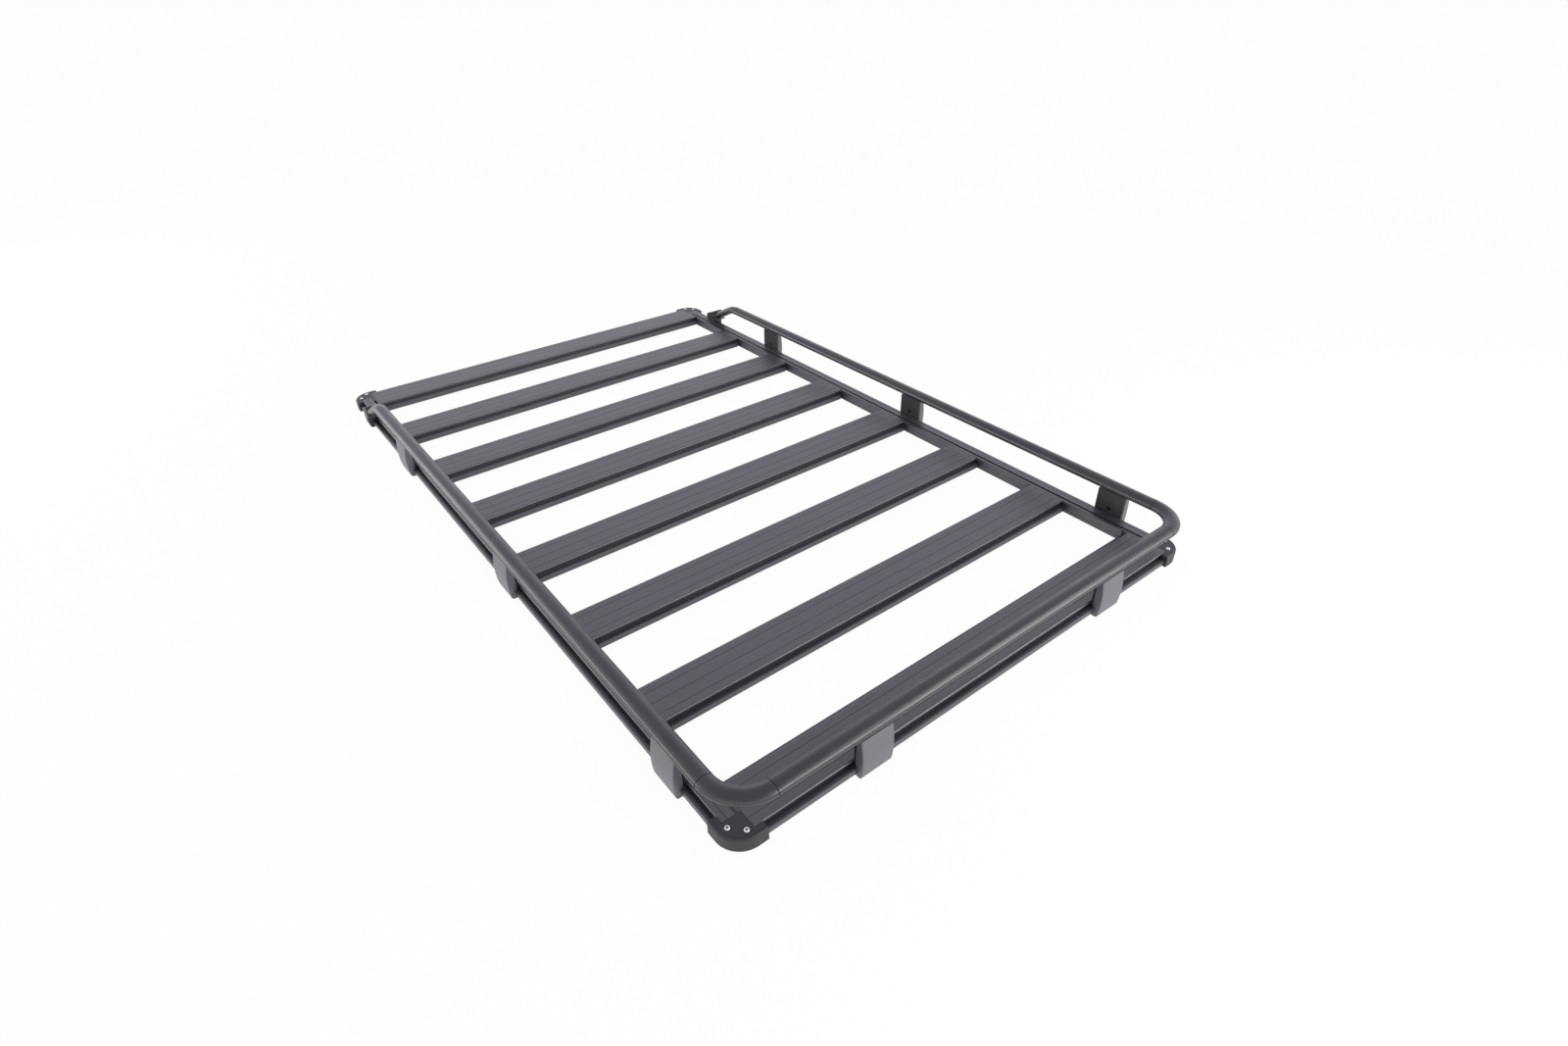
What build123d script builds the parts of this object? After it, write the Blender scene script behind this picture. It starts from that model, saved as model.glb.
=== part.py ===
import os
from math import cos, radians, sin, sqrt

from build123d import *

# Driving dimensions in millimetres
# Platform: a ladder of equal cross beams between two side rails, castings at the corners
platform_length = 2136.0
platform_width = 1307.0
platform_depth = 29.0
beam_count = 8
beam_width = 101.0
joint_gap = 0.3

# Dovetail edge: top plate over a groove, and a lip that stands out below it
plate_edge = 4.5
plate_round = 3.0
groove_mouth = 7.0
groove_depth = 7.0
lip_reach = 11.5
lip_rise = 2.0
lip_chamfer = 5.5
lip_relief = 8.0

# Fine lines drawn along the top faces
line_width = 1.0
line_depth = 0.6
beam_line_count = 3
beam_line_spacing = 30.5
rail_line_inset = 12.5

# Side rail: plate, slot and bead along its top
rail_plate_width = 27.5
rail_slot_width = 6.5
rail_slot_depth = 9.0
rail_bead_width = 8.5

# Corner casting, measured from the top plates' edges
casting_reach = 17.0
casting_joint = 38.0
casting_tongue = 17.5
casting_key = 30.0
casting_radius = 52.0
casting_round = 5.0

# Guard rail: oval tube over the platform's edge, with tails that slope down at the rear
tube_width = 37.0
tube_height = 25.0
tube_end_radius = 9.0
tube_rise = 73.2
tube_offset = 4.2
bend_radius = 78.5
seam_gap = 0.6
tail_corner = 1806.0
tail_radius = 100.0
tail_angle = 27.0
tail_length = 107.0

# Guard posts: places, and the clamp plate in the groove with its countersunk hole
post_width = 75.0
post_first = 182.5
post_pitch = 695.0
side_post_count = 3
front_post_spacing = 690.0
clamp_inset = 0.6
clamp_thickness = 3.2
clamp_toe = 4.0
clamp_slot = 3.0
clamp_gap = 2.0
clamp_round = 4.0
bolt_rise = 11.0
bolt_radius = 3.2
bolt_sink_radius = 6.0

# Post shell: a bowed outer face from brow to heel, a neck under the tube, a hook under the lip
neck_reach = 12.5
brow_reach = 18.0
brow_rise = 59.5
belly_reach = 24.5
belly_rise = 8.0
shell_chamfer = 1.5
heel_chamfer = 3.0
hook_length = 9.0
hook_thickness = 2.9
seat_gap = 0.3

# Rear feet: tapered blocks that take the tube ends
foot_setback = 15.7
foot_length = 71.0
foot_clear = 1.0
foot_collar = 4.5
foot_bulge = 3.5
foot_tip = 2.5
foot_taper = 50.0
foot_taper_bow = 5.0
foot_nose_radius = 4.0

# Derived places: lowest point at zero, box centred on the origin
underside = hook_thickness + seat_gap
top = underside + platform_depth
edge_x = platform_width / 2 - casting_reach
edge_y = platform_length / 2 - casting_reach
front_reach = edge_y + max(belly_reach, tube_offset + tube_width / 2)
middle_y = (front_reach - platform_length / 2) / 2
front_y = middle_y - edge_y
rail_width = rail_plate_width + rail_slot_width + rail_bead_width
inner_x = edge_x - rail_width
lip_top = plate_edge + groove_mouth
beam_pitch = (2 * edge_y - beam_width) / (beam_count - 1)
joint_x = edge_x - casting_joint
joint_y = edge_y - casting_joint
tongue_x = joint_x - casting_tongue
tongue_y = joint_y - casting_tongue
tube_x = edge_x + tube_offset
tube_y = front_y - tube_offset
tube_z = top + tube_rise
bend_x = tube_x - bend_radius
bend_y = tube_y + bend_radius
tail_y = front_y + tail_corner
tail_slope = radians(tail_angle)
foot_y = tail_y + tail_length * cos(tail_slope) + foot_setback
clamp_outer = clamp_inset + clamp_thickness
clamp_top = tube_rise - tube_height / 2 - clamp_slot
shell_inner = clamp_outer + clamp_gap
hook_top = -platform_depth - seat_gap
heel_level = hook_top - hook_thickness
bow = belly_reach - brow_reach
bow_radius = (bow**2 + (brow_rise - belly_rise) ** 2) / (2 * bow)
heel_reach = belly_reach - bow_radius + sqrt(bow_radius**2 - (belly_rise - heel_level) ** 2)
side_names = {-1: "left", 1: "right"}

os.makedirs("parts", exist_ok=True)


def save(piece, name):
    piece.label = name
    export_step(piece, f"parts/{name}.step")


# Planes across the platform's edges: x out from the top plate's edge, y up from the top face
def across_side(side, y):
    return Plane(origin=(side * edge_x, y, top), x_dir=(side, 0, 0), z_dir=(0, -side, 0))


def across_front(x):
    return Plane(origin=(x, front_y, top), x_dir=(0, -1, 0), z_dir=(-1, 0, 0))


# Outline of a dovetail edge, from the top face down to the underside
def dovetail_points(edge):
    return [
        (edge, 0),
        (edge, -plate_edge),
        (edge - groove_depth, -plate_edge),
        (edge - groove_depth, -lip_top - lip_rise),
        (edge + lip_reach, -lip_top),
        (edge + lip_reach, lip_chamfer - platform_depth),
        (edge + lip_reach - lip_chamfer, -platform_depth),
    ]


# Height of a seat on the lip's sloping upper face, at a distance out from the plate's edge
def lip_seat(out):
    return seat_gap - lip_top - lip_rise * (lip_reach - out) / (lip_reach + groove_depth)


# Notch of a fine line, about its middle on the top face
line_notch = [(-line_width / 2, 0), (line_width / 2, 0), (0, -line_depth)]

# Side rails: extrusions with one dovetail, relieved at their ends for castings and end beams
for side, side_name in side_names.items():
    with BuildPart() as side_rail:
        with BuildSketch(across_side(side, middle_y)) as rail_profile:
            with BuildLine():
                Polyline(
                    *dovetail_points(0),
                    (-rail_width, -platform_depth),
                    (-rail_width, 0),
                    (-rail_plate_width - rail_slot_width, 0),
                    (-rail_plate_width - rail_slot_width, -rail_slot_depth),
                    (-rail_plate_width, -rail_slot_depth),
                    (-rail_plate_width, 0),
                    close=True,
                )
            make_face()
            fillet(rail_profile.vertices().sort_by_distance((0, 0))[0], plate_round)
            with Locations((-rail_line_inset, 0)):
                Polygon(*line_notch, align=None, mode=Mode.SUBTRACT)
        extrude(amount=joint_y - joint_gap, both=True)
        with BuildSketch(Plane.XY.offset(top)):
            for end in (-1, 1):
                tongue_room = casting_tongue + joint_gap
                tongue_middle = middle_y + end * (joint_y - tongue_room / 2)
                with Locations((side * (edge_x + lip_reach / 2), tongue_middle)):
                    Rectangle(lip_reach, tongue_room)
                beam_room = beam_width - casting_joint + lip_reach + joint_gap
                room_middle = middle_y + end * (joint_y - beam_room / 2)
                notch = joint_x - inner_x
                with Locations((side * (joint_x - notch / 2), room_middle)):
                    Rectangle(notch, beam_room)
        extrude(amount=-platform_depth, mode=Mode.SUBTRACT)
    save(side_rail.part, f"side_rail_{side_name}")


# Cross beams: one extrusion with a dovetail on both sides
beam_names = ["front_beam"] + [f"slat_{n}" for n in range(2, beam_count)] + ["rear_beam"]
for index, beam_name in enumerate(beam_names):
    beam_y = front_y + beam_width / 2 + index * beam_pitch
    outer_edge = {"front_beam": -1, "rear_beam": 1}.get(beam_name)
    half_length = (joint_x if outer_edge else inner_x) - joint_gap
    with BuildPart() as beam:
        across_beam = Plane(origin=(0, beam_y, top), x_dir=(0, 1, 0), z_dir=(1, 0, 0))
        with BuildSketch(across_beam) as beam_profile:
            with BuildLine():
                Polyline((0, 0), *dovetail_points(beam_width / 2), (0, -platform_depth))
                mirror(about=Plane.YZ)
            make_face()
            for edge in (-beam_width / 2, beam_width / 2):
                fillet(beam_profile.vertices().sort_by_distance((edge, 0))[0], plate_round)
            with GridLocations(beam_line_spacing, 0, beam_line_count, 1):
                Polygon(*line_notch, align=None, mode=Mode.SUBTRACT)
        extrude(amount=half_length, both=True)
        if outer_edge:
            tongue_room = casting_tongue + joint_gap
            lip_y = middle_y + outer_edge * (edge_y + lip_reach / 2)
            with BuildSketch(Plane.XY.offset(top)):
                for end in (-1, 1):
                    with Locations((end * (joint_x - tongue_room / 2), lip_y)):
                        Rectangle(tongue_room, lip_reach)
        else:
            with BuildSketch(Plane(origin=(0, beam_y, top))):
                with GridLocations(2 * half_length - lip_relief, beam_width + lip_reach, 2, 2):
                    Rectangle(lip_relief, lip_reach)
        extrude(amount=-platform_depth, mode=Mode.SUBTRACT)
    save(beam.part, beam_name)


# Corner castings: rounded corner blocks whose tongues close the grooves and keys close the rail slots
casting_names = {(-1, -1): "front_left", (1, -1): "front_right", (-1, 1): "rear_left", (1, 1): "rear_right"}
for (side, end), corner_name in casting_names.items():
    plan = [
        (edge_x + casting_reach, edge_y + casting_reach),
        (tongue_x, edge_y + casting_reach),
        (tongue_x, edge_y + joint_gap),
        (joint_x, edge_y + joint_gap),
        (joint_x, joint_y),
        (edge_x + joint_gap, joint_y),
        (edge_x + joint_gap, tongue_y),
        (edge_x + casting_reach, tongue_y),
    ]
    corner = (side * plan[0][0], middle_y + end * plan[0][1])
    with BuildPart() as casting:
        with BuildSketch(Plane.XY.offset(underside)) as casting_plan:
            with BuildLine():
                Polyline(*[(side * x, middle_y + end * y) for x, y in plan], close=True)
            make_face()
            fillet(casting_plan.vertices().sort_by_distance(corner)[0], casting_radius)
        extrude(amount=platform_depth)
        rim = casting.faces().sort_by(Axis.Z)[-1].edges()
        flank = rim.sort_by(Axis.X)[0 if side < 0 else -1]
        nose = rim.sort_by(Axis.Y)[0 if end < 0 else -1]
        fillet(rim.filter_by(GeomType.CIRCLE) + [flank, nose], casting_round)
        key_x = edge_x - rail_plate_width - rail_slot_width / 2
        with BuildSketch(Plane.XY.offset(top)):
            with Locations((side * key_x, middle_y + end * (joint_y - casting_key / 2))):
                Rectangle(rail_slot_width - 2 * joint_gap, casting_key)
        extrude(amount=joint_gap - rail_slot_depth)
    save(casting.part, f"corner_casting_{corner_name}")


# Section of the guard rail: an oval of four tangent arcs about its centre
half_width = tube_width / 2
half_height = tube_height / 2
end_centre = half_width - tube_end_radius
crown_rise = half_height - tube_end_radius
crown_radius = tube_end_radius + (end_centre**2 + crown_rise**2) / (2 * crown_rise)
crown_drop = crown_radius - half_height
blend = tube_end_radius / (crown_radius - tube_end_radius)
blend_x = end_centre * (1 + blend)
blend_y = crown_drop * blend
with BuildSketch() as tube_section:
    with BuildLine():
        ThreePointArc((blend_x, -blend_y), (half_width, 0), (blend_x, blend_y))
        ThreePointArc((blend_x, blend_y), (0, half_height), (-blend_x, blend_y))
        ThreePointArc((-blend_x, blend_y), (-half_width, 0), (-blend_x, -blend_y))
        ThreePointArc((-blend_x, -blend_y), (0, -half_height), (blend_x, -blend_y))
    make_face()

# The same oval with the clearance of a seat round it
with BuildSketch() as seat_section:
    add(tube_section.sketch)
    offset(amount=seat_gap)

# Guard rail: front tube, two corner bends, and side tubes that slope down at the rear
with BuildPart() as front_tube:
    with BuildSketch(Plane(origin=(0, tube_y, tube_z), x_dir=(0, 1, 0), z_dir=(1, 0, 0))):
        add(tube_section.sketch)
    extrude(amount=bend_x - seam_gap, both=True)
save(front_tube.part, "guard_tube_front")

bend_starts = {
    -1: Plane(origin=(-tube_x, bend_y, tube_z), x_dir=(1, 0, 0), z_dir=(0, 1, 0)),
    1: Plane(origin=(bend_x, tube_y, tube_z), x_dir=(0, 1, 0), z_dir=(1, 0, 0)),
}
for side, side_name in side_names.items():
    with BuildPart() as bend:
        with BuildSketch(bend_starts[side]):
            add(tube_section.sketch)
        revolve(axis=Axis((side * bend_x, bend_y, 0), (0, 0, 1)), revolution_arc=90)
    save(bend.part, f"guard_bend_{side_name}")


# Route of a side tube's centreline
def tail_route(side):
    start = (side * tube_x, bend_y + seam_gap, tube_z)
    finish = (side * tube_x, tail_y + tail_length * cos(tail_slope), tube_z - tail_length * sin(tail_slope))
    return [start, (side * tube_x, tail_y, tube_z), finish]


for side, side_name in side_names.items():
    with BuildPart() as side_tube:
        with BuildLine():
            FilletPolyline(*tail_route(side), radius=tail_radius)
        with BuildSketch(Plane(origin=tail_route(side)[0], x_dir=(1, 0, 0), z_dir=(0, 1, 0))):
            add(tube_section.sketch)
        sweep()
    save(side_tube.part, f"guard_tube_{side_name}")


# Section that sits on the lip and hooks under it, from a given inner face down and out to the heel
def grip_points(inner):
    return [
        (inner, lip_seat(inner)),
        (lip_reach + seat_gap, seat_gap - lip_top),
        (lip_reach + seat_gap, lip_chamfer - platform_depth),
        (lip_reach - lip_chamfer, hook_top),
        (lip_reach - hook_length, hook_top),
        (lip_reach - hook_length, heel_level),
        (heel_reach, heel_level),
    ]


# Guard posts: a clamp plate in the groove, and a shell over the lip with a saddle for the tube
stations = {}
for side, side_name in side_names.items():
    for number in range(side_post_count):
        post_y = front_y + post_first + number * post_pitch
        stations[f"{side_name}_{number + 1}"] = across_side(side, post_y)
stations["front_1"] = across_front(-front_post_spacing / 2)
stations["front_2"] = across_front(front_post_spacing / 2)

for post_name, station in stations.items():
    with BuildPart() as shell:
        with BuildSketch(station) as shell_profile:
            with BuildLine():
                Polyline(
                    (brow_reach, brow_rise),
                    (neck_reach, brow_rise),
                    (neck_reach, tube_rise),
                    (shell_inner, tube_rise),
                    *grip_points(shell_inner),
                )
                ThreePointArc((heel_reach, heel_level), (belly_reach, belly_rise), (brow_reach, brow_rise))
            make_face()
            chamfer(shell_profile.vertices().sort_by_distance((heel_reach, heel_level))[0], heel_chamfer)
        extrude(amount=post_width / 2, both=True)
        chamfer(shell.edges().filter_by(GeomType.CIRCLE), shell_chamfer)
        with BuildSketch(station):
            with Locations((tube_offset, tube_rise)):
                add(seat_section.sketch)
        extrude(amount=post_width, both=True, mode=Mode.SUBTRACT)
    save(shell.part, f"post_shell_{post_name}")
    with BuildPart() as clamp:
        with BuildSketch(station):
            with BuildLine():
                Polyline(
                    (clamp_inset, clamp_top),
                    (clamp_inset, -plate_edge - seat_gap),
                    (-clamp_toe, -plate_edge - seat_gap),
                    (-clamp_toe, lip_seat(-clamp_toe)),
                    (clamp_outer, lip_seat(clamp_outer)),
                    (clamp_outer, clamp_top),
                    close=True,
                )
            make_face()
        extrude(amount=post_width / 2, both=True)
        fillet(clamp.faces().sort_by(Axis.Z)[-1].edges().sort_by(SortBy.LENGTH)[:2], clamp_round)
        hole_centre = station.from_local_coords((clamp_inset, bolt_rise, 0))
        hole_face = Plane(origin=hole_centre, z_dir=-station.x_dir)
        with Locations(hole_face):
            CounterSinkHole(bolt_radius, bolt_sink_radius, depth=clamp_thickness)
    save(clamp.part, f"post_clamp_{post_name}")


# Rear feet: blocks that grip the lip as the posts do, taper to the rear and take the sloping tube ends
tail_level = tube_rise - tail_length * sin(tail_slope)
collar = half_height + foot_collar
foot_inner = tube_offset - half_width
foot_middle = (foot_inner + belly_reach) / 2


# Point beside the tube's end face, at a distance up from its axis
def tail_face_point(rise):
    return (
        joint_gap * cos(tail_slope) + rise * sin(tail_slope) - foot_setback,
        tail_level - joint_gap * sin(tail_slope) + rise * cos(tail_slope),
    )


for side, side_name in side_names.items():
    with BuildPart() as foot:
        with BuildSketch(across_side(side, foot_y)) as foot_profile:
            with BuildLine():
                Polyline(
                    (brow_reach, brow_rise),
                    (foot_inner, brow_rise),
                    (foot_inner, foot_clear),
                    (clamp_inset, foot_clear),
                    *grip_points(clamp_inset),
                )
                ThreePointArc((heel_reach, heel_level), (belly_reach, belly_rise), (brow_reach, brow_rise))
            make_face()
            chamfer(foot_profile.vertices().sort_by_distance((heel_reach, heel_level))[0], heel_chamfer)
        extrude(amount=foot_length, both=True)
        collar_top = tail_face_point(collar)
        tip = (foot_length, foot_tip)
        crest = (
            (collar_top[0] + tip[0]) / 2 + foot_bulge * sin(tail_slope),
            (collar_top[1] + tip[1]) / 2 + foot_bulge * cos(tail_slope),
        )
        foot_front = (side * edge_x, foot_y, top)
        with BuildSketch(Plane(origin=foot_front, x_dir=(0, 1, 0), z_dir=(1, 0, 0))):
            with BuildLine():
                ThreePointArc(collar_top, crest, tip)
                Polyline(
                    tip,
                    (foot_length, heel_level),
                    (0, heel_level),
                    (0, 0),
                    tail_face_point(-collar),
                    collar_top,
                )
            make_face()
        extrude(amount=tube_width + belly_reach, both=True, mode=Mode.INTERSECT)
        with BuildSketch(Plane(origin=foot_front, x_dir=(side, 0, 0), z_dir=(0, 0, side))) as foot_plan:
            nose = (foot_middle, foot_length)
            taper_start = foot_length - foot_taper
            with BuildLine():
                Polyline(
                    (foot_inner, taper_start),
                    (foot_inner, -foot_length),
                    (belly_reach, -foot_length),
                    (belly_reach, taper_start),
                )
                for flank, bow_out in ((foot_inner, -foot_taper_bow), (belly_reach, foot_taper_bow)):
                    flank_middle = ((flank + foot_middle) / 2 + bow_out, foot_length - foot_taper / 2)
                    ThreePointArc((flank, taper_start), flank_middle, nose)
            make_face()
            fillet(foot_plan.vertices().sort_by_distance(nose)[0], foot_nose_radius)
        extrude(amount=brow_rise - heel_level, both=True, mode=Mode.INTERSECT)
    save(foot.part, f"rear_foot_{side_name}")
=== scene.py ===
import math

import bpy
from mathutils import Matrix, Vector


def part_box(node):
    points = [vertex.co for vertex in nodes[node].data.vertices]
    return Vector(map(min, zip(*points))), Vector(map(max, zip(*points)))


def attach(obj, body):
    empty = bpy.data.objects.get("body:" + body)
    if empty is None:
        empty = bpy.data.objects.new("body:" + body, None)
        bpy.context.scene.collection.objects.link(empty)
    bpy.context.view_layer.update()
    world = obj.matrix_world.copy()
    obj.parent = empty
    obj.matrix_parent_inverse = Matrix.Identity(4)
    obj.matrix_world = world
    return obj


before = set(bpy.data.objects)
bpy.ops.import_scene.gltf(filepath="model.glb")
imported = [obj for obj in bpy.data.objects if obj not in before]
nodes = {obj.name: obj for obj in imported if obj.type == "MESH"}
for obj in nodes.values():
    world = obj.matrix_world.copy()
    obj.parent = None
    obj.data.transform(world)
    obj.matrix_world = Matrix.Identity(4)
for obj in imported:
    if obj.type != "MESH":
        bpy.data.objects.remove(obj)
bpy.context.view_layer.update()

# Side rails and cross beams
# Aluminium extrusions with a dovetail along each outer edge and fine lines drawn along the top, cut to
# length and joined into a ladder. They are powder coated satin black before the rack is put together.
mm = 0.001


def linear(colour):
    channels = [int(colour[i:i + 2], 16) / 255 for i in (1, 3, 5)]
    return [c / 12.92 if c <= 0.04045 else ((c + 0.055) / 1.055) ** 2.4 for c in channels] + [1.0]


def add_node(tree, kind, settings=None, links=None):
    node = tree.nodes.new(kind)
    for key, value in (settings or {}).items():
        if isinstance(key, str) and hasattr(node, key):
            setattr(node, key, value)
        else:
            node.inputs[key].default_value = value
    for key, socket in (links or {}).items():
        tree.links.new(socket, node.inputs[key])
    return node


# Powder coat melts into a skin with a faint orange peel. The eye gets a soft sheen that is a little uneven,
# over a colour that shifts slightly in patches, where the coat is thicker or thinner.
# The real peel is about 1 mm, drawn here at the given size so that it shows.
def powder_coat(name, thin, thick, roughness, ior, peel, patch):
    thick_tone = 0.3
    thin_tone = 0.7
    gloss_spread = 0.05
    peel_strength = 0.3
    peel_height = 0.004 * peel
    material = bpy.data.materials.new(name)
    material.use_nodes = True
    tree = material.node_tree
    shader = tree.nodes["Principled BSDF"]
    shader.inputs["IOR"].default_value = ior
    place = add_node(tree, "ShaderNodeTexCoord").outputs["Object"]
    drawn = add_node(tree, "ShaderNodeMapping", {"Scale": [1 / side for side in patch]}, {"Vector": place})
    tone = add_node(tree, "ShaderNodeTexNoise", {"Scale": 1.0, "Detail": 4.0}, {"Vector": drawn.outputs[0]})
    colour = add_node(tree, "ShaderNodeValToRGB", links={"Fac": tone.outputs[0]})
    colour.color_ramp.elements[0].position = thick_tone
    colour.color_ramp.elements[0].color = linear(thick)
    colour.color_ramp.elements[1].position = thin_tone
    colour.color_ramp.elements[1].color = linear(thin)
    tree.links.new(colour.outputs["Color"], shader.inputs["Base Color"])
    gloss_range = {
        "From Min": thick_tone,
        "From Max": thin_tone,
        "To Min": roughness - gloss_spread,
        "To Max": roughness + gloss_spread,
    }
    gloss = add_node(tree, "ShaderNodeMapRange", gloss_range, {"Value": tone.outputs[0]})
    tree.links.new(gloss.outputs[0], shader.inputs["Roughness"])
    grain = add_node(tree, "ShaderNodeTexNoise", {"Scale": 1 / peel, "Detail": 2.0}, {"Vector": place})
    relief = {"Strength": peel_strength, "Distance": peel_height}
    bump = add_node(tree, "ShaderNodeBump", relief, {"Height": grain.outputs[0]})
    tree.links.new(bump.outputs[0], shader.inputs["Normal"])
    return material


def dress(names, material):
    for name in names:
        nodes[name].data.materials.clear()
        nodes[name].data.materials.append(material)


# Painted shade for fine lines and seams: where the mask is, the coat's colour drops to a tenth, as the shade
# there would darken it, and its roughness rises so the sheen goes dull.
def shade_and_dull(material, mask):
    colour_left = 0.1
    tree = material.node_tree
    shader = tree.nodes["Principled BSDF"]
    kept = add_node(tree, "ShaderNodeMapRange", {"To Min": 1.0, "To Max": colour_left}, {"Value": mask})
    coat = shader.inputs["Base Color"].links[0].from_socket
    dimming = {0: coat, "Scale": kept.outputs[0]}
    colour = add_node(tree, "ShaderNodeVectorMath", {"operation": "SCALE"}, dimming)
    tree.links.new(colour.outputs[0], shader.inputs["Base Color"])
    sheen = shader.inputs["Roughness"].links[0].from_socket
    gloss = add_node(tree, "ShaderNodeMath", {"operation": "MAXIMUM"}, {0: sheen, 1: mask})
    tree.links.new(gloss.outputs[0], shader.inputs["Roughness"])


# The tone of an extrusion runs in streaks along its length.
rails = [name for name in nodes if name.startswith("side_rail")]
beams = [name for name in nodes if name.startswith("slat") or name.endswith("beam")]
streak_width = 7.5 * mm
streak_length = 120 * mm
rail_streak = (streak_width, streak_length, streak_width)
beam_streak = (streak_length, streak_width, streak_width)
drawn_finish = {"thin": "#343339", "thick": "#2c2b31", "roughness": 0.40, "ior": 1.95, "peel": 3.0 * mm}
rail_coat = powder_coat("satin black powder coat on extruded rail", patch=rail_streak, **drawn_finish)
beam_coat = powder_coat("satin black powder coat on extruded beam", patch=beam_streak, **drawn_finish)
dress(rails, rail_coat)
dress(beams, beam_coat)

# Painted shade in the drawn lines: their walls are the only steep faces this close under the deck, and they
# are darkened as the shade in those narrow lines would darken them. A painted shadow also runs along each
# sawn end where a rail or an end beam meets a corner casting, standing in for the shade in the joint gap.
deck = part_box("slat_4")[1].z
line_floor = deck - 0.7 * mm
steep_rise = 0.7
sawn_end = 0.6 * mm
rail_low, rail_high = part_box("side_rail_left")
beam_low, beam_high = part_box("front_beam")
sawn_places = [(rail_coat, "Y", (rail_low.y, rail_high.y)), (beam_coat, "X", (beam_low.x, beam_high.x))]
for coat, axis, ends in sawn_places:
    tree = coat.node_tree
    place = add_node(tree, "ShaderNodeTexCoord")
    spot = add_node(tree, "ShaderNodeSeparateXYZ", links={0: place.outputs["Object"]}).outputs
    facing = add_node(tree, "ShaderNodeSeparateXYZ", links={0: place.outputs["Normal"]}).outputs
    shallow = add_node(tree, "ShaderNodeMath", {"operation": "GREATER_THAN", 1: line_floor}, {0: spot["Z"]})
    steep = add_node(tree, "ShaderNodeMath", {"operation": "LESS_THAN", 1: steep_rise}, {0: facing["Z"]})
    walls = {0: shallow.outputs[0], 1: steep.outputs[0]}
    dark = add_node(tree, "ShaderNodeMath", {"operation": "MULTIPLY"}, walls)
    for end in ends:
        near_end = {"operation": "COMPARE", 1: end, 2: sawn_end}
        sawn = add_node(tree, "ShaderNodeMath", near_end, {0: spot[axis]})
        either = {0: dark.outputs[0], 1: sawn.outputs[0]}
        dark = add_node(tree, "ShaderNodeMath", {"operation": "MAXIMUM"}, either)
    shade_and_dull(coat, dark.outputs[0])

# Corner castings
# Rounded aluminium castings that close the ladder's corners, plugged into the grooves and rail slots.
# They carry a satin black coat too, a little rougher over the cast skin.
castings = [name for name in nodes if name.startswith("corner_casting")]
even_patch = (60 * mm, 60 * mm, 60 * mm)
cast_coat = powder_coat(
    "satin black powder coat on cast aluminium",
    thin="#2d2d31",
    thick="#26262a",
    roughness=0.50,
    ior=1.52,
    peel=4.0 * mm,
    patch=even_patch,
)
dress(castings, cast_coat)

# Corner screws
# Bright plated steel button head screws, cold headed with a hexagon socket, two at each corner.
# They hold the casting to the end of the side rail and to the end of the beam.
head_radius = 4.7 * mm
head_height = 2.4 * mm
head_sunk = 0.3 * mm
head_sides = 40
dome = 1.2 * mm
dome_steps = 5
socket_flats = 4.0 * mm
socket_depth = 2.0 * mm
end_face = 0.9


def pick_faces(piece, wanted):
    bpy.ops.object.mode_set(mode="EDIT")
    bpy.ops.mesh.select_mode(type="FACE")
    bpy.ops.mesh.select_all(action="DESELECT")
    bpy.ops.object.mode_set(mode="OBJECT")
    for polygon in piece.data.polygons:
        polygon.select = wanted(polygon.normal.z)
    bpy.ops.object.mode_set(mode="EDIT")


bpy.ops.object.select_all(action="DESELECT")
bpy.ops.mesh.primitive_cylinder_add(
    vertices=head_sides, radius=head_radius, depth=head_height, location=(0, 0, head_height / 2)
)
screw_head = bpy.context.object
bpy.ops.object.transform_apply(location=True)
pick_faces(screw_head, lambda rise: rise > end_face)
bpy.ops.mesh.bevel(offset=dome, segments=dome_steps, profile=0.5)
bpy.ops.object.mode_set(mode="OBJECT")


# A plated or moulded skin isn't quite even: clouds of the given size shift its colour and its gloss.
def clouded_skin(name, cloud, detail, dark, pale, smooth, rough, constants):
    material = bpy.data.materials.new(name)
    material.use_nodes = True
    tree = material.node_tree
    shader = tree.nodes["Principled BSDF"]
    for socket, value in constants.items():
        shader.inputs[socket].default_value = value
    place = add_node(tree, "ShaderNodeTexCoord").outputs["Object"]
    clouds = add_node(tree, "ShaderNodeTexNoise", {"Scale": 1 / cloud, "Detail": detail}, {"Vector": place})
    colour = add_node(tree, "ShaderNodeValToRGB", links={"Fac": clouds.outputs[0]})
    colour.color_ramp.elements[0].color = linear(dark)
    colour.color_ramp.elements[1].color = linear(pale)
    tree.links.new(colour.outputs["Color"], shader.inputs["Base Color"])
    gloss_range = {"To Min": smooth, "To Max": rough}
    gloss = add_node(tree, "ShaderNodeMapRange", gloss_range, {"Value": clouds.outputs[0]})
    tree.links.new(gloss.outputs[0], shader.inputs["Roughness"])
    return material


# Zinc plating on cold headed steel gives the eye a pale, slightly cloudy ring round the dark socket.
bright_zinc = clouded_skin(
    "bright zinc plated steel",
    cloud=0.8 * mm,
    detail=3.0,
    dark="#e6e6e3",
    pale="#f6f6f4",
    smooth=0.22,
    rough=0.38,
    constants={"Metallic": 0.4},
)
screw_head.data.materials.append(bright_zinc)

# Painted shade: the socket's faces get a nearly black colour, standing in for the shade inside the hole.
socket_painted_shade = clouded_skin(
    "socket steel with painted shade",
    cloud=0.5 * mm,
    detail=2.0,
    dark="#0a0a0b",
    pale="#161617",
    smooth=0.6,
    rough=0.8,
    constants={},
)
crease = math.radians(35)


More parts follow.
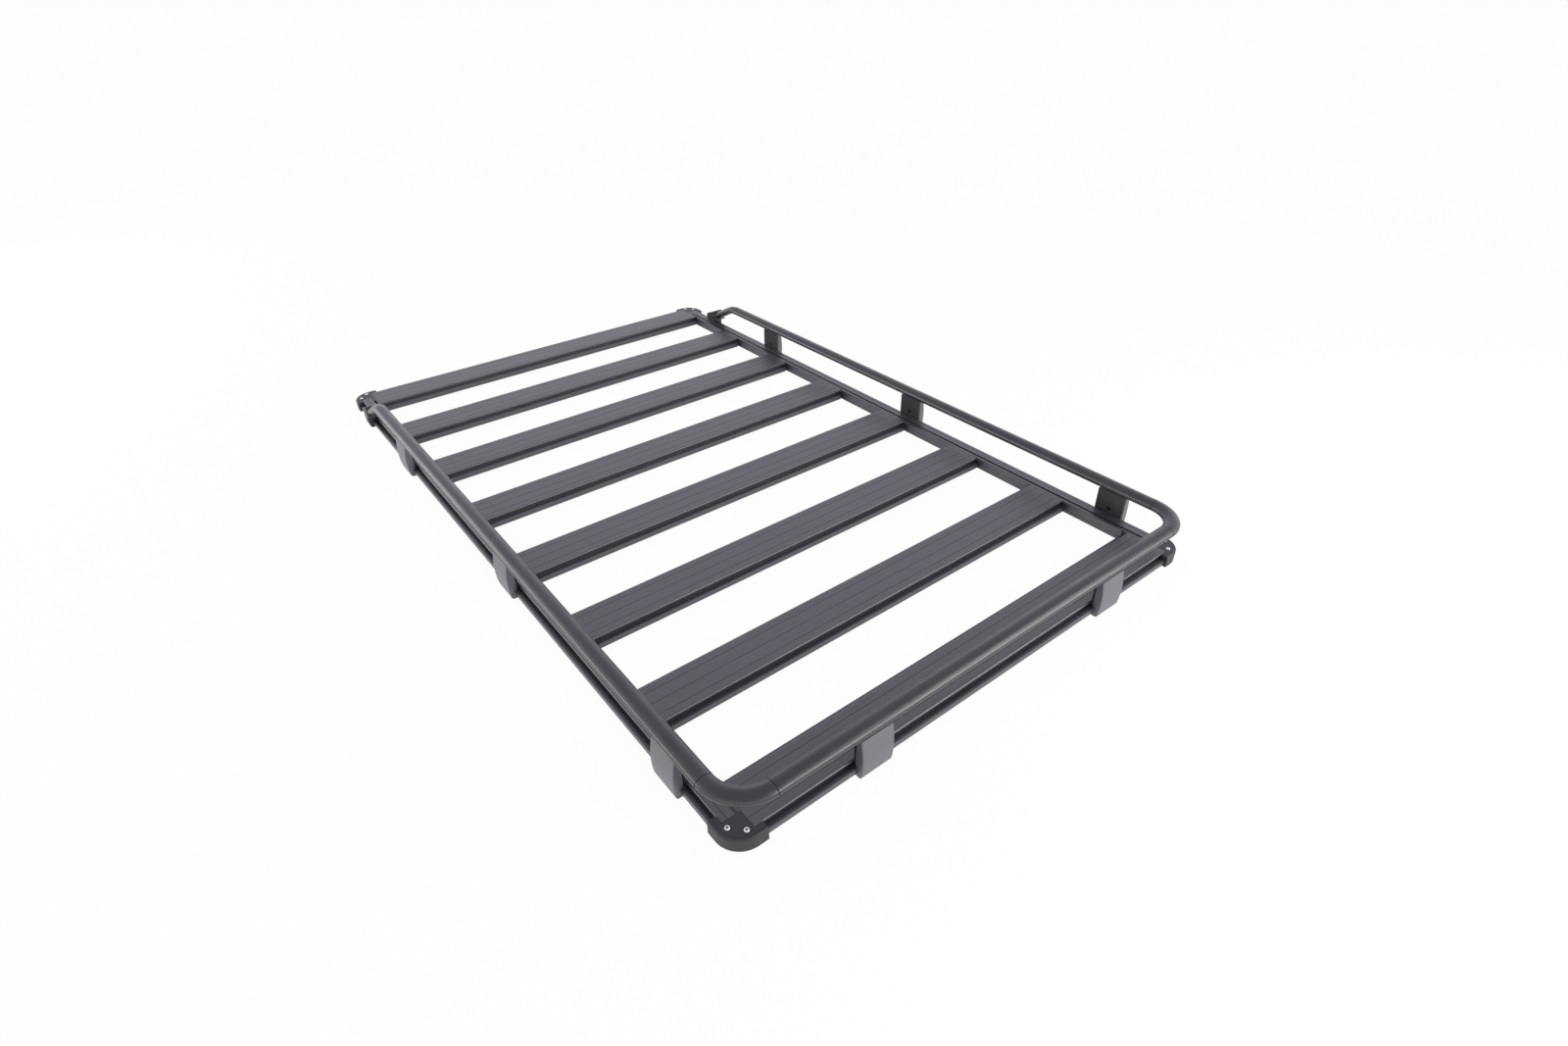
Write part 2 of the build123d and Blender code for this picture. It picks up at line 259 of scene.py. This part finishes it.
def cut_socket(piece, across_flats, depth, level):
    bpy.ops.object.select_all(action="DESELECT")
    bpy.ops.mesh.primitive_cylinder_add(
        vertices=6, radius=across_flats / math.sqrt(3), depth=2 * depth, location=(0, 0, level)
    )
    cutter = bpy.context.object
    cutter.data.materials.append(socket_painted_shade)
    bpy.ops.object.select_all(action="DESELECT")
    piece.select_set(True)
    bpy.context.view_layer.objects.active = piece
    socket = piece.modifiers.new("socket", "BOOLEAN")
    socket.operation = "DIFFERENCE"
    socket.object = cutter
    socket.material_mode = "TRANSFER"
    bpy.ops.object.modifier_apply(modifier=socket.name)
    bpy.data.objects.remove(cutter)
    bpy.ops.object.shade_smooth_by_angle(angle=crease)


cut_socket(screw_head, socket_flats, socket_depth, head_height)


def place_copy(piece, name, place, turn):
    bpy.ops.object.select_all(action="DESELECT")
    piece.select_set(True)
    bpy.context.view_layer.objects.active = piece
    bpy.ops.object.duplicate()
    copy = bpy.context.object
    copy.name = name
    copy.matrix_world = Matrix.Translation(place) @ turn
    bpy.ops.object.transform_apply(location=True, rotation=True, scale=True)
    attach(copy, "root")


# The guard rail's tube stands out past the edge of the deck by a known amount, which gives that edge.
# Each screw was driven home at its own angle.
tube_offset = 4.2 * mm
tube_width = 37.0 * mm
tube_overhang = tube_offset + tube_width / 2
plate_edge_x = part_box("guard_tube_right")[1].x - tube_overhang
plate_edge_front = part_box("guard_tube_front")[0].y + tube_overhang
middle_y = (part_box("corner_casting_front_left")[0].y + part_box("corner_casting_rear_left")[1].y) / 2
plate_edge_y = middle_y - plate_edge_front
near_inset = 2.0 * mm
far_inset = 24.7 * mm
driven_turn = math.radians(23)
corners = {"front_left": (-1, -1), "front_right": (1, -1), "rear_left": (-1, 1), "rear_right": (1, 1)}
for index, (corner, (side, end)) in enumerate(corners.items()):
    for number, (x_inset, y_inset) in enumerate([(near_inset, far_inset), (far_inset, near_inset)]):
        spot = (side * (plate_edge_x - x_inset), middle_y + end * (plate_edge_y - y_inset), deck - head_sunk)
        turn = Matrix.Rotation(driven_turn * (2 * index + number), 4, "Z")
        place_copy(screw_head, f"corner_screw_{corner}_{number + 1}", spot, turn)
bpy.data.objects.remove(screw_head)

# Guard posts
# A clamp plate stands in the groove and a bowed cast shell hooks round the lip from outside.
# A bolt through the plate draws the two together, so the post can slide along the edge.
shells = [name for name in nodes if name.startswith("post_shell")]
clamps = [name for name in nodes if name.startswith("post_clamp")]
shell_coat = powder_coat(
    "satin grey powder coat on cast post",
    thin="#545459",
    thick="#4c4c52",
    roughness=0.42,
    ior=1.95,
    peel=3.5 * mm,
    patch=even_patch,
)
clamp_coat = powder_coat(
    "satin black powder coat on pressed plate",
    thin="#29292c",
    thick="#222225",
    roughness=0.45,
    ior=1.60,
    peel=3.0 * mm,
    patch=even_patch,
)
dress(shells, shell_coat)
dress(clamps, clamp_coat)

# Clamp bolts
# Black zinc plated countersunk screws with a hexagon socket, one in each clamp plate.
# Each runs through the plate into the shell behind it.
bolt_head_radius = 5.7 * mm
bolt_shank_radius = 3.0 * mm
bolt_head_depth = 2.7 * mm
bolt_shank_length = 2.6 * mm
bolt_sides = 40
bolt_rim = 0.25 * mm
bolt_flats = 4.0 * mm
bolt_socket_depth = 1.6 * mm
bolt_rise = 11.0 * mm
toe_reach = 4.6 * mm
bolt_sunk = 0.15 * mm
bpy.ops.object.select_all(action="DESELECT")
bpy.ops.mesh.primitive_cone_add(
    vertices=bolt_sides,
    radius1=bolt_shank_radius,
    radius2=bolt_head_radius,
    depth=bolt_head_depth,
    location=(0, 0, -bolt_head_depth / 2),
)
bolt = bpy.context.object
bpy.ops.object.transform_apply(location=True)
pick_faces(bolt, lambda rise: rise < -end_face)
bpy.ops.mesh.extrude_region_move(TRANSFORM_OT_translate={"value": (0, 0, -bolt_shank_length)})
bpy.ops.object.mode_set(mode="OBJECT")
pick_faces(bolt, lambda rise: rise > end_face)
bpy.ops.mesh.bevel(offset=bolt_rim, segments=2, profile=0.5)
bpy.ops.object.mode_set(mode="OBJECT")

# Black zinc is a thin dark film over metal. The eye gets a dull glint, a little cloudy, on the dark plate.
black_zinc = clouded_skin(
    "black zinc plated steel",
    cloud=1.2 * mm,
    detail=3.0,
    dark="#1b1b1e",
    pale="#303034",
    smooth=0.3,
    rough=0.5,
    constants={"Metallic": 1.0},
)
bolt.data.materials.append(black_zinc)
cut_socket(bolt, bolt_flats, bolt_socket_depth, 0)

for name in clamps:
    low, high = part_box(name)
    middle = (low + high) / 2
    station = name.removeprefix("post_clamp_")
    if station.startswith("front"):
        inward = Vector((0, 1, 0))
        spot = Vector((middle.x, high.y - toe_reach - bolt_sunk, deck + bolt_rise))
    else:
        side = -1 if station.startswith("left") else 1
        inward = Vector((-side, 0, 0))
        toe_x = min(abs(low.x), abs(high.x))
        spot = Vector((side * (toe_x + toe_reach + bolt_sunk), middle.y, deck + bolt_rise))
    turn = inward.to_track_quat("Z", "Y").to_matrix().to_4x4()
    place_copy(bolt, f"clamp_bolt_{station}", spot, turn)
bpy.data.objects.remove(bolt)

# Guard rail
# Drawn aluminium tube of oval section: straight lengths and bent corners, sleeved together end to end.
# It sits in the posts' saddles and has the smoothest coat of all the pieces.
tubes = [name for name in nodes if name.startswith("guard")]
tube_coat = powder_coat(
    "satin black powder coat on drawn tube",
    thin="#18181c",
    thick="#141418",
    roughness=0.34,
    ior=1.75,
    peel=3.0 * mm,
    patch=even_patch,
)
dress(tubes, tube_coat)

# A painted shadow darkens a thin band at each seam where the tube ends meet, standing in for the shade in the
# gap.
front_low, front_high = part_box("guard_tube_front")
seam_gap = 0.6 * mm
seam_x = front_high.x + seam_gap / 2
seam_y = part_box("guard_tube_left")[0].y - seam_gap / 2
seam_reach = seam_gap / 2 + sawn_end
tree = tube_coat.node_tree
place = add_node(tree, "ShaderNodeTexCoord")
spot = add_node(tree, "ShaderNodeSeparateXYZ", links={0: place.outputs["Object"]}).outputs
aside = add_node(tree, "ShaderNodeMath", {"operation": "ABSOLUTE"}, {0: spot["X"]})
front_seam = {"operation": "COMPARE", 1: seam_x, 2: seam_reach}
front_end = add_node(tree, "ShaderNodeMath", front_seam, {0: aside.outputs[0]})
side_seam = {"operation": "COMPARE", 1: seam_y, 2: seam_reach}
side_end = add_node(tree, "ShaderNodeMath", side_seam, {0: spot["Y"]})
either = {0: front_end.outputs[0], 1: side_end.outputs[0]}
seam_shade = add_node(tree, "ShaderNodeMath", {"operation": "MAXIMUM"}, either)
shade_and_dull(tube_coat, seam_shade.outputs[0])

# Joint sleeves
# Short oval sleeves of moulded black nylon inside the guard rail, pushed half into each tube.
# They hold the tube ends in line, and only the fine dark seam between those ends shows them.
sleeve_length = 12 * mm
sleeve_inset = 1.2 * mm
sleeve_chamfer = 0.5 * mm
sleeve_sides = 48
front_middle = (front_low + front_high) / 2
sleeve_half_width = (front_high.y - front_low.y) / 2 - sleeve_inset
sleeve_half_height = (front_high.z - front_low.z) / 2 - sleeve_inset
bpy.ops.object.select_all(action="DESELECT")
bpy.ops.mesh.primitive_cylinder_add(vertices=sleeve_sides, radius=sleeve_half_width, depth=sleeve_length)
sleeve = bpy.context.object
pick_faces(sleeve, lambda rise: abs(rise) > end_face)
bpy.ops.mesh.bevel(offset=sleeve_chamfer, segments=2, profile=0.5)
bpy.ops.mesh.select_all(action="SELECT")
bpy.ops.transform.resize(value=(1, sleeve_half_height / sleeve_half_width, 1))
bpy.ops.object.mode_set(mode="OBJECT")
bpy.ops.object.shade_smooth_by_angle(angle=crease)

# Moulded nylon is matte. Its near-black colour is partly the nylon's own and partly painted shade, so that
# the seam reads as a dark line, as the shade in the gap would make it. Its spark eroded mould leaves a grain
# of about 0.3 mm, drawn here at 0.6 mm.
nylon = clouded_skin(
    "black nylon with painted seam shade",
    cloud=0.6 * mm,
    detail=2.0,
    dark="#060607",
    pale="#0e0e10",
    smooth=0.65,
    rough=0.85,
    constants={"IOR": 1.53},
)
sleeve.data.materials.append(nylon)

for side, word in {-1: "left", 1: "right"}.items():
    side_low, side_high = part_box(f"guard_tube_{word}")
    seams = {
        "front": (Vector((side * front_high.x, front_middle.y, front_middle.z)), Vector((1, 0, 0))),
        "side": (Vector(((side_low.x + side_high.x) / 2, side_low.y, front_middle.z)), Vector((0, 1, 0))),
    }
    for seam, (spot, along) in seams.items():
        turn = along.to_track_quat("Z", "Y").to_matrix().to_4x4()
        place_copy(sleeve, f"joint_sleeve_{seam}_{word}", spot, turn)
bpy.data.objects.remove(sleeve)

# Rear feet
# Cast aluminium blocks that grip the lip as the posts do and take the guard rail's sloping ends.
# They have the castings' coat.
dress([name for name in nodes if name.startswith("rear_foot")], cast_coat)

# Floor and light
# A white studio floor that runs to the horizon, under a cool sky that is dimmer overhead.
# Two large soft boxes, in front and on the left, lift the upright faces.
floor_size = 160
floor_drop = 0.5 * mm
bpy.ops.object.select_all(action="DESELECT")
bpy.ops.mesh.primitive_plane_add(size=floor_size, location=(0, 0, -floor_drop))
floor = bpy.context.object
floor.name = "floor"

# Matt white paint. The eye sees plain white, with a little of the paint's own shading, so that the rack keeps
# its soft shadow. The floor under the rack lies in its shade, so a mirrored look at it is dimmer there.
white_share = 0.95
shade_inside = 0.97
shade_outside = 1.05
shaded_white = 0.3
footprint = (1 / plate_edge_x, 1 / plate_edge_y, 0)
floor_white = bpy.data.materials.new("white studio floor")
floor_white.use_nodes = True
tree = floor_white.node_tree
paint = tree.nodes["Principled BSDF"]
paint.inputs["Base Color"].default_value = linear("#f4f4f2")
paint.inputs["Roughness"].default_value = 0.9
glow = add_node(tree, "ShaderNodeEmission", {"Color": linear("#ffffff"), "Strength": 1.0})
ray = add_node(tree, "ShaderNodeLightPath").outputs
place = add_node(tree, "ShaderNodeTexCoord")
across = add_node(tree, "ShaderNodeMapping", {"Scale": footprint}, {"Vector": place.outputs["Object"]})
distance = add_node(tree, "ShaderNodeVectorMath", {"operation": "ABSOLUTE"}, {0: across.outputs[0]})
reach = add_node(tree, "ShaderNodeSeparateXYZ", links={0: distance.outputs[0]}).outputs
farther = add_node(tree, "ShaderNodeMath", {"operation": "MAXIMUM"}, {0: reach["X"], 1: reach["Y"]})
shade_edge = {"From Min": shade_inside, "From Max": shade_outside, "To Min": shaded_white}
open_floor = add_node(tree, "ShaderNodeMapRange", shade_edge, {"Value": farther.outputs[0]})
mirror_links = {0: ray["Is Glossy Ray"], 1: open_floor.outputs[0]}
mirrored = add_node(tree, "ShaderNodeMath", {"operation": "MULTIPLY"}, mirror_links)
direct_links = {0: ray["Is Camera Ray"], 1: mirrored.outputs[0]}
direct = add_node(tree, "ShaderNodeMath", {"operation": "MAXIMUM"}, direct_links)
seen_links = {0: direct.outputs[0], 1: ray["Is Transmission Ray"]}
seen = add_node(tree, "ShaderNodeMath", {"operation": "MAXIMUM"}, seen_links)
share = add_node(tree, "ShaderNodeMath", {"operation": "MULTIPLY", 1: white_share}, {0: seen.outputs[0]})
mix_links = {0: share.outputs[0], 1: paint.outputs[0], 2: glow.outputs[0]}
mix = add_node(tree, "ShaderNodeMixShader", links=mix_links)
tree.links.new(mix.outputs[0], tree.nodes["Material Output"].inputs["Surface"])
floor.data.materials.append(floor_white)

# The sky's colours are linear, by the height of the direction looked in.
low_height = 0.2
low_sky = (0.72, 0.71, 0.75, 1)
middle_height = 0.45
middle_sky = (0.50, 0.485, 0.56, 1)
high_height = 0.85
high_sky = (0.33, 0.32, 0.36, 1)
sky_strength = 1.8
world = bpy.data.worlds.new("studio")
world.use_nodes = True
tree = world.node_tree
direction = add_node(tree, "ShaderNodeTexCoord")
height = add_node(tree, "ShaderNodeSeparateXYZ", links={0: direction.outputs["Generated"]})
sky = add_node(tree, "ShaderNodeValToRGB", links={"Fac": height.outputs["Z"]})
sky.color_ramp.elements[0].position = low_height
sky.color_ramp.elements[0].color = low_sky
sky.color_ramp.elements[1].position = middle_height
sky.color_ramp.elements[1].color = middle_sky
overhead = sky.color_ramp.elements.new(high_height)
overhead.color = high_sky
tree.links.new(sky.outputs["Color"], tree.nodes["Background"].inputs["Color"])
tree.nodes["Background"].inputs["Strength"].default_value = sky_strength
bpy.context.scene.world = world
bpy.context.scene.view_settings.view_transform = "Standard"


def soft_box(name, place, target, width, height, power):
    data = bpy.data.lights.new(name, "AREA")
    data.shape = "RECTANGLE"
    data.size = width
    data.size_y = height
    data.energy = power
    lamp = bpy.data.objects.new(name, data)
    lamp.location = place
    lamp.rotation_euler = (Vector(target) - Vector(place)).to_track_quat("-Z", "Y").to_euler()
    bpy.context.scene.collection.objects.link(lamp)


soft_box(
    "front soft box",
    place=(1.35, -3.05, 1.20),
    target=(-0.2, -1.0, 0.1),
    width=2.6,
    height=2.1,
    power=60,
)
soft_box(
    "left soft box",
    place=(-3.2, 2.6, 1.00),
    target=(-0.6, 0.0, 0.1),
    width=4.0,
    height=1.6,
    power=54,
)

# Camera
# Stands off the front left corner and looks down along the platform.
camera_place = Vector((-1072.5, -1752.95, 1200.6)) * mm
camera_right = Vector((0.7864, -0.6176, -0.0126))
camera_down = Vector((-0.3551, -0.4353, -0.8273))
camera_forward = Vector((0.5055, 0.6550, -0.5616))
focal_pixels = 856.2
image_width = 1600
camera_data = bpy.data.cameras.new("camera")
camera_data.sensor_width = 36
camera_data.lens = camera_data.sensor_width * focal_pixels / image_width
camera = bpy.data.objects.new("camera", camera_data)
turn = Matrix((camera_right, -camera_down, -camera_forward)).transposed().to_4x4()
camera.matrix_world = Matrix.Translation(camera_place) @ turn
bpy.context.scene.collection.objects.link(camera)
bpy.context.scene.camera = camera
